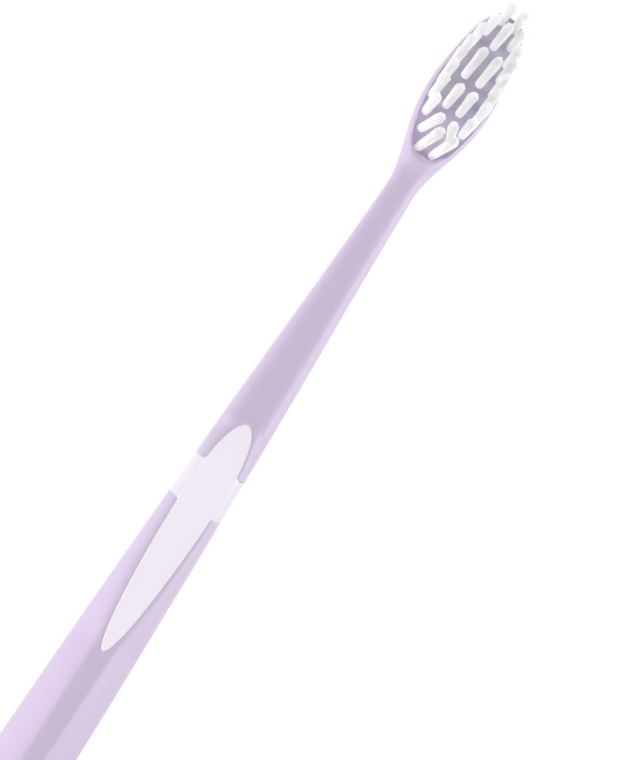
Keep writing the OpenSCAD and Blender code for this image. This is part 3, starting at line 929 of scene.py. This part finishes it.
def bristles(form, number, place):
    """One tuft: filaments in a sunflower pattern that spread toward their tips.

    Filament k stands at radius R sqrt(k / n) and angle k times the golden angle. Its centre line
    spreads and strays with the square of its height, and its tip is a low dome."""
    b = form.b
    d, y, lean, share = place
    count, sides = b.filaments, 6
    draw = np.random.default_rng(100 + number)
    k = np.arange(count) + 0.5
    reach = (b.tuft_d - b.filament_d) / 2 * np.sqrt(k / count)
    golden = k * math.pi * (3 - math.sqrt(5))
    root = np.stack([reach * np.cos(golden), reach * np.sin(golden)], 1)
    stray = draw.normal(0, form.stray, (count, 2))
    spread = form.spread + form.more_spread * draw.random(count)
    # Longest in the middle of the tuft, and none quite the same
    free = b.free * share - form.unlike * draw.random(count) - b.point * np.sqrt(k / count)
    # Heights of the rings as shares of the free length, but in millimetres below the floor, and
    # their widths as shares of the filament's
    heights = np.array([-form.foot, 0.0, 0.34, 0.68, 0.985, 1.0])
    widths = np.array([1.0, 1.0, 1.0, 1.0, 0.95, 0.55])
    t = np.clip(heights, 0, 1)
    up = np.minimum(heights, 0) + t * free[:, None]
    centre = root[:, None, :] * (1 + spread[:, None, None] * (t ** 2)[None, :, None])
    centre = centre + stray[:, None, :] * (t ** 2)[None, :, None]
    ring = circle(sides) * b.filament_d / 2
    points = centre[:, :, None, :] + ring[None, None] * widths[None, :, None, None]
    levels = len(heights)
    high = np.broadcast_to(up[:, :, None, None], points.shape[:3] + (1,))
    points = np.concatenate([points, high], 3).reshape(count, levels * sides, 3)
    tips = np.concatenate([centre[:, -1], up[:, -1][:, None]], 1)[:, None]
    feet = np.concatenate([centre[:, 0], up[:, 0][:, None]], 1)[:, None]
    points = np.concatenate([points, tips, feet], 1)
    top = levels * sides
    faces = ring_faces(0, sides, levels) + fan_faces(top - sides, sides, top)
    faces += [[n, i, foot] for i, n, foot in fan_faces(0, sides, top + 1)]
    every = [[i + n * (top + 2) for i in face] for n in range(count) for face in faces]
    points = points.reshape(-1, 3)
    across, high = points[:, 1].copy(), points[:, 2].copy()
    points[:, 1] = y + across * math.cos(lean) - high * math.sin(lean)
    points[:, 2] = form.floor_z + high * math.cos(lean) + across * math.sin(lean)
    points[:, 0] = form.tip_x - d + points[:, 0]
    mesh = bpy.data.meshes.new(f"bristles_{number:02d}")
    mesh.from_pydata((points * MM).tolist(), [], every)
    mesh.shade_smooth()
    return placed(mesh)


class Nodes:
    """Short ways to add and join shader nodes in one tree."""

    def __init__(self, tree):
        self.tree = tree

    def add(self, kind, **values):
        """Adds a node with the given values."""
        return self.fill(self.tree.nodes.new(kind), **values)

    def fill(self, node, **values):
        """Sets a node's settings, and the constants of its inputs with _ for a space."""
        for key, value in values.items():
            if hasattr(node, key):
                setattr(node, key, value)
            else:
                node.inputs[key.replace("_", " ")].default_value = value
        return node

    def join(self, out, into):
        """Links an output to an input."""
        self.tree.links.new(out, into)

    def feed(self, value, into):
        """Links an output to an input, or makes a constant the input's value."""
        if hasattr(value, "is_output"):
            self.join(value, into)
        else:
            into.default_value = value

    def math(self, kind, a, b):
        """The result of a math node for two values."""
        node = self.add("ShaderNodeMath", operation=kind)
        self.feed(a, node.inputs[0])
        self.feed(b, node.inputs[1])
        return node.outputs[0]

    def blend(self, part, a, b):
        """Colour a where part is 0 and b where it is 1."""
        node = self.add("ShaderNodeMix", data_type="RGBA")
        self.feed(part, node.inputs[0])
        self.feed((*a, 1), node.inputs[6])
        self.feed((*b, 1), node.inputs[7])
        return node.outputs[2]

    def scaled(self, colour_out, factor):
        """A colour times a factor."""
        node = self.add("ShaderNodeVectorMath", operation="SCALE")
        self.feed(colour_out, node.inputs[0])
        self.join(factor, node.inputs["Scale"])
        return node.outputs[0]

    def part(self, vector, letter):
        """One of a vector's three parts."""
        node = self.add("ShaderNodeSeparateXYZ")
        self.join(vector, node.inputs[0])
        return node.outputs[letter]

    def ramp(self, value, start, stop):
        """0 up to start and 1 from stop on, even in between."""
        node = self.add("ShaderNodeMapRange", clamp=True, From_Min=start, From_Max=stop)
        self.join(value, node.inputs["Value"])
        return node.outputs["Result"]

    def seen(self):
        """1 for what the camera sees, also by way of gloss or of clear bodies, and 0 for light."""
        rays = self.add("ShaderNodeLightPath").outputs
        return self.math("MAXIMUM", rays["Is Camera Ray"],
                         self.math("MAXIMUM", rays["Is Glossy Ray"], rays["Is Transmission Ray"]))


def moulded_surface():
    """Node group: soft mottling of the colour, uneven gloss and the fine skin of mouldings."""
    group = bpy.data.node_groups.get("Moulded surface")
    if group:
        return group
    group = bpy.data.node_groups.new("Moulded surface", "ShaderNodeTree")
    for name, kind, value in (("Colour", "NodeSocketColor", (0.8, 0.8, 0.8, 1)),
                              ("Mottle", "NodeSocketFloat", 0.04),
                              ("Roughness", "NodeSocketFloat", 0.35),
                              ("Unevenness", "NodeSocketFloat", 0.06),
                              ("Size", "NodeSocketFloat", 900.0)):
        group.interface.new_socket(name, in_out="INPUT", socket_type=kind).default_value = value
    for name, kind in (("Colour", "NodeSocketColor"), ("Roughness", "NodeSocketFloat"),
                       ("Height", "NodeSocketFloat")):
        group.interface.new_socket(name, in_out="OUTPUT", socket_type=kind)
    n = Nodes(group)
    given = n.add("NodeGroupInput").outputs
    place = n.add("ShaderNodeTexCoord").outputs["Object"]
    cloudy = n.add("ShaderNodeTexNoise", Scale=140.0, Detail=3.0)
    fine = n.add("ShaderNodeTexNoise", Detail=2.0)
    n.join(given["Size"], fine.inputs["Scale"])
    for node in (cloudy, fine):
        n.join(place, node.inputs["Vector"])
    off = n.math("SUBTRACT", cloudy.outputs["Fac"], 0.5)
    bright = n.math("ADD", n.math("MULTIPLY", off, given["Mottle"]), 1.0)
    rough = n.math("ADD", given["Roughness"], n.math("MULTIPLY", off, given["Unevenness"]))
    out = n.add("NodeGroupOutput").inputs
    n.join(n.scaled(given["Colour"], bright), out["Colour"])
    n.join(rough, out["Roughness"])
    n.join(fine.outputs["Fac"], out["Height"])
    return group


def plain_material(name):
    """A new material with its shader and its node helper."""
    material = bpy.data.materials.new(name)
    material.use_nodes = True
    return material, Nodes(material.node_tree), material.node_tree.nodes["Principled BSDF"]


def surfaced(n, shader, tint, mottle, rough, uneven=0.06):
    """The moulded surface with a tint, joined to a shader's colour and roughness."""
    surface = n.add("ShaderNodeGroup", node_tree=moulded_surface(), Colour=(*tint, 1),
                    Mottle=mottle, Roughness=rough, Unevenness=uneven)
    n.join(surface.outputs["Colour"], shader.inputs["Base Color"])
    n.join(surface.outputs["Roughness"], shader.inputs["Roughness"])
    return surface


def plastic(name, tint, mottle, rough, bump, soft):
    """Satin moulded plastic with a fine skin; soft is how much light passes under its surface.

    Gives the material, its node helper and its surface, whose colour may then be changed."""
    material, n, shader = plain_material(name)
    surface = surfaced(n, shader, tint, mottle, rough)
    raised = n.add("ShaderNodeBump", Strength=bump, Distance=0.00003)
    n.join(surface.outputs["Height"], raised.inputs["Height"])
    n.join(raised.outputs[0], shader.inputs["Normal"])
    n.fill(shader, IOR=1.46, Subsurface_Weight=soft, Subsurface_Scale=0.002,
           Subsurface_Radius=(1.0, 0.8, 1.0))
    return material, n, surface


def side_shade_mask(n, reach):
    """Mask for painted shade: points beyond reach from the middle line, over half a millimetre."""
    across = n.part(n.add("ShaderNodeTexCoord").outputs["Object"], "Y")
    return n.ramp(n.math("ABSOLUTE", across, 0.0), reach * MM, (reach + 0.5) * MM)


def painted_shade_mask(n, form):
    """Mask of the painted shade on the bristle floor toward the head's tip: faces that look up and
    lie no higher.

    It fades out over a fifth of a millimetre above the floor, and where faces tilt."""
    place = n.add("ShaderNodeTexCoord").outputs
    fade_x = form.tip_x - form.shaded_to
    ahead = n.ramp(n.part(place["Object"], "X"), (fade_x - form.shade_fade) * MM,
                   (fade_x + form.shade_fade) * MM)
    low = n.ramp(n.part(place["Object"], "Z"), (form.floor_z + 0.3) * MM,
                 (form.floor_z + 0.1) * MM)
    upward = n.ramp(n.part(place["Normal"], "Z"), 0.6, 0.9)
    return n.math("MULTIPLY", upward, n.math("MULTIPLY", low, ahead))


def nylon(name, form, colours):
    """Bristle nylon: the root's colour to the tip's by height, streaked from filament to filament.

    The two glows are painted light: an emission that lifts the shade inside the tufts, standing
    for the light that the clear filaments carry down into them. The root's glow fades toward the
    tip of each tuft, and toward the head's tip, where tufts stand free."""
    material, n, shader = plain_material(name)
    place = n.add("ShaderNodeTexCoord").outputs["Object"]
    high = n.ramp(n.part(place, "Z"), form.floor_z * MM, (form.floor_z + form.b.free) * MM)
    # Noise that hardly changes along the filaments
    lines = n.add("ShaderNodeMapping", Scale=(1.0, 1.0, 0.04))
    n.join(place, lines.inputs["Vector"])
    streak = n.add("ShaderNodeTexNoise", Scale=3200.0, Detail=1.0)
    n.join(lines.outputs[0], streak.inputs["Vector"])
    off = n.math("SUBTRACT", streak.outputs["Fac"], 0.5)
    shade = n.math("ADD", n.math("MULTIPLY", off, 0.12), 1.0)
    tint = n.blend(high, colours.nylon_root, colours.nylon_tip)
    n.join(n.scaled(tint, shade), shader.inputs["Base Color"])
    # Light passes from one side of the thin filaments to the other
    n.fill(shader, Roughness=0.42, IOR=1.5, Subsurface_Weight=0.8, Subsurface_Scale=0.0015,
           Subsurface_Radius=(1.0, 1.0, 1.0), Emission_Strength=1.0)
    # Painted light: an emission, strongest at the roots, lifts the shade inside the tufts
    ahead = n.ramp(n.part(place, "X"), (form.tip_x - form.glow_back) * MM,
                   (form.tip_x + form.glow_ahead) * MM)
    glow = n.blend(n.math("MAXIMUM", high, ahead), colours.root_glow, colours.tip_glow)
    n.join(glow, shader.inputs["Emission Color"])
    return material


def stamped_metal(name, tint):
    """Thin stamped brass of the anchor plates, uneven in its gloss."""
    material, n, shader = plain_material(name)
    surfaced(n, shader, tint, **METAL_FINISH)
    n.fill(shader, Metallic=1.0)
    return material


def paper(name, tint):
    """Floor: plain matt white that looks white to the camera and keeps the brush's shadow."""
    material, n, shader = plain_material(name)
    grain = n.add("ShaderNodeTexNoise", Scale=60.0, Detail=2.0)
    n.join(n.add("ShaderNodeTexCoord").outputs["Object"], grain.inputs["Vector"])
    shade = n.math("ADD", n.math("MULTIPLY", grain.outputs["Fac"], 0.01), 0.995)
    n.join(n.scaled(tuple(tint), shade), shader.inputs["Base Color"])
    n.fill(shader, Roughness=0.9, Specular_IOR_Level=0.1)
    return material, n, shader


def settings(context):
    """The form made from the scene's properties, and its colours."""
    scene = context.scene
    return Form(Sizes(scene.brush_sizes), Sizes(scene.bristle_sizes)), scene.brush_colours


class TOOTHBRUSH_OT_head_and_neck(bpy.types.Operator):
    """Build the lilac head and neck with the bristle floor and its holes"""
    bl_idname = "toothbrush.head_and_neck"
    bl_label = "Head and neck"

    def execute(self, context):
        form, colours = settings(context)
        material, n, surface = plastic("Lilac plastic, head", colours.lilac, **LILAC_FINISH)
        # Painted shade: the floor between the tufts is coloured darker toward the head's tip
        shaded = painted_shade_mask(n, form)
        n.join(n.blend(shaded, colours.lilac, colours.shaded), surface.inputs["Colour"])
        dress(head_and_neck(form), material, "lilac_shell", "head_and_neck")
        return {"FINISHED"}


class TOOTHBRUSH_OT_handle(bpy.types.Operator):
    """Build the lilac handle"""
    bl_idname = "toothbrush.handle"
    bl_label = "Handle"

    def execute(self, context):
        form, colours = settings(context)
        material, _, _ = plastic("Lilac plastic, handle", colours.lilac, **LILAC_FINISH)
        dress(handle(form), material, "lilac_shell", "handle")
        return {"FINISHED"}


class TOOTHBRUSH_OT_core(bpy.types.Operator):
    """Build the pale core with its inlay and band"""
    bl_idname = "toothbrush.core"
    bl_label = "Core"

    def execute(self, context):
        form, colours = settings(context)
        material, n, surface = plastic("Pearl plastic", colours.pearl, **PEARL_FINISH)
        # Painted shade: the pearl is coloured darker on the band's sides, beyond the inlay's width
        beside = side_shade_mask(n, form.s.inlay_w / 2)
        n.join(n.blend(beside, colours.pearl, colours.pearl_side), surface.inputs["Colour"])
        dress(core(form), material, "pearl_core", "core")
        return {"FINISHED"}


class TOOTHBRUSH_OT_bristles(bpy.types.Operator):
    """Build the tufts of nylon filaments"""
    bl_idname = "toothbrush.bristles"
    bl_label = "Bristles"

    def execute(self, context):
        form, colours = settings(context)
        material = nylon("Bristle nylon", form, colours)
        for number, place in enumerate(form.tufts(), 1):
            dress(bristles(form, number, place), material, "bristle_nylon", f"tuft_{number:02d}")
        return {"FINISHED"}


class TOOTHBRUSH_OT_anchors(bpy.types.Operator):
    """Give the metal plates in the tuft holes their finish"""
    bl_idname = "toothbrush.anchors"
    bl_label = "Tuft anchors"

    def execute(self, context):
        _, colours = settings(context)
        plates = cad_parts["tuft_anchors"]
        plates.data.materials.clear()
        plates.data.materials.append(stamped_metal("Stamped brass", colours.metal))
        return {"FINISHED"}


def area_light(name, place, size, watts):
    """A square softbox at place, in metres, that shines toward the origin."""
    lamp = bpy.data.lights.new(name, "AREA")
    lamp.shape, lamp.size, lamp.energy = "SQUARE", size, watts
    holder = placed(lamp)
    holder.location = place
    holder.rotation_euler = (-Vector(place)).to_track_quat("-Z", "Y").to_euler()


class TOOTHBRUSH_OT_stage(bpy.types.Operator):
    """Set up the floor, the lights, the room and the camera"""
    bl_idname = "toothbrush.stage"
    bl_label = "Stage"

    def execute(self, context):
        scene = context.scene
        stage, colours = scene.brush_stage, scene.brush_colours
        self.floor(colours, stage)
        self.room(scene, stage)
        self.camera(scene, stage)
        area_light("Left softbox", (-0.28, 0.60, 0.20), 0.45, stage.key)
        area_light("Right softbox", (0.28, -0.60, 0.20), 0.45, stage.fill)
        area_light("Rear softbox", (0.30, 0.0, 0.40), 0.45, stage.rear)
        area_light("Front softbox", (-1.20, 0.0, 0.80), 0.6, stage.front)
        scene.view_settings.view_transform = "Standard"
        return {"FINISHED"}

    def floor(self, colours, stage):
        """A wide flat disc just under the brush: rings of points round the origin, in metres."""
        rings, sides, under = np.array([3.0, 1.0, 0.3]), 48, 0.00002
        points = (rings[:, None, None] * circle(sides)).reshape(-1, 2)
        points = np.concatenate([points, [[0.0, 0.0]]])
        points = np.concatenate([points, np.full((len(points), 1), -under)], 1)
        centre = len(rings) * sides
        faces = ring_faces(0, sides, len(rings)) + fan_faces(centre - sides, sides, centre)
        mesh = bpy.data.meshes.new("floor")
        mesh.from_pydata(points.tolist(), [], faces)
        material, n, shader = paper("Pale floor", colours.paper)
        # The camera sees a little light added, so that the lit floor is white and shadows stay.
        # Far from the lamps that light grows, so that the floor's far part is white too
        away = n.add("ShaderNodeVectorMath", operation="LENGTH")
        n.join(n.add("ShaderNodeTexCoord").outputs["Object"], away.inputs[0])
        ramp = n.add("ShaderNodeMapRange", clamp=True, interpolation_type="SMOOTHSTEP",
                     From_Min=stage.near, From_Max=stage.far, To_Min=stage.glow,
                     To_Max=stage.far_glow)
        n.join(away.outputs["Value"], ramp.inputs["Value"])
        glow = n.add("ShaderNodeEmission", Color=(1, 1, 1, 1))
        n.join(n.math("MULTIPLY", n.seen(), ramp.outputs["Result"]), glow.inputs["Strength"])
        both = n.add("ShaderNodeAddShader")
        n.join(shader.outputs[0], both.inputs[0])
        n.join(glow.outputs[0], both.inputs[1])
        n.join(both.outputs[0], material.node_tree.nodes["Material Output"].inputs["Surface"])
        mesh.materials.append(material)
        placed(mesh)

    def room(self, scene, stage):
        """Even light from all round, and plain white where the camera looks past the floor."""
        world = bpy.data.worlds.new("Room")
        world.use_nodes = True
        scene.world = world
        n = Nodes(world.node_tree)
        light = world.node_tree.nodes["Background"]
        n.fill(light, Color=(1, 1, 1, 1))
        level = n.math("ADD", n.math("MULTIPLY", n.seen(), 1.0 - stage.world), stage.world)
        n.join(level, light.inputs["Strength"])

    def camera(self, scene, stage):
        """Camera on the line of sight, tilted and turned as the picture was taken."""
        tilt, side, roll = stage.tilt, stage.side, stage.roll
        view = Vector((-math.sin(tilt) * math.cos(side), math.sin(side),
                       math.cos(tilt) * math.cos(side)))
        right = Vector((math.cos(roll), math.sin(roll), 0.0))
        right = (right - view * right.dot(view)).normalized()
        up = view.cross(right)
        turned = Matrix((right, up, view)).transposed().to_4x4()
        lens = bpy.data.cameras.new("Camera")
        lens.sensor_fit, lens.sensor_width = "HORIZONTAL", stage.sensor
        lens.lens = stage.focal_pixels * stage.sensor / stage.frame_width
        lens.clip_start, lens.clip_end = 0.01, 20.0
        turned.translation = Vector(stage.look_at) + view * stage.distance
        scene.camera = placed(lens)
        scene.camera.matrix_world = turned


OPERATORS = (TOOTHBRUSH_OT_head_and_neck, TOOTHBRUSH_OT_handle, TOOTHBRUSH_OT_core,
             TOOTHBRUSH_OT_bristles, TOOTHBRUSH_OT_anchors, TOOTHBRUSH_OT_stage)


class TOOTHBRUSH_PT_panel(bpy.types.Panel):
    """Sidebar list of the brush's sizes, colours and pieces"""
    bl_label = "Manual toothbrush"
    bl_idname = "TOOTHBRUSH_PT_panel"
    bl_space_type = "VIEW_3D"
    bl_region_type = "UI"
    bl_category = "Toothbrush"

    def draw(self, context):
        for group in (context.scene.brush_sizes, context.scene.bristle_sizes,
                      context.scene.brush_colours, context.scene.brush_stage):
            box = self.layout.box()
            for name in group.__annotations__:
                box.prop(group, name)
        for kind in OPERATORS:
            self.layout.operator(kind.bl_idname)


GROUPS = {"brush_sizes": BrushSizes, "bristle_sizes": BristleSizes,
          "brush_colours": BrushColours, "brush_stage": BrushStage}


def register():
    """Adds the property groups, the operators and the panel."""
    for name, group in GROUPS.items():
        bpy.utils.register_class(group)
        setattr(bpy.types.Scene, name, PointerProperty(type=group))
    for kind in OPERATORS + (TOOTHBRUSH_PT_panel,):
        bpy.utils.register_class(kind)


def unregister():
    """Takes them away again."""
    for kind in (TOOTHBRUSH_PT_panel,) + OPERATORS[::-1]:
        bpy.utils.unregister_class(kind)
    for name, group in GROUPS.items():
        delattr(bpy.types.Scene, name)
        bpy.utils.unregister_class(group)


def main():
    """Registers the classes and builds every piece."""
    register()
    for name in ("head_and_neck", "handle", "core", "bristles", "anchors", "stage"):
        getattr(bpy.ops.toothbrush, name)()


if __name__ == "__main__":
    main()
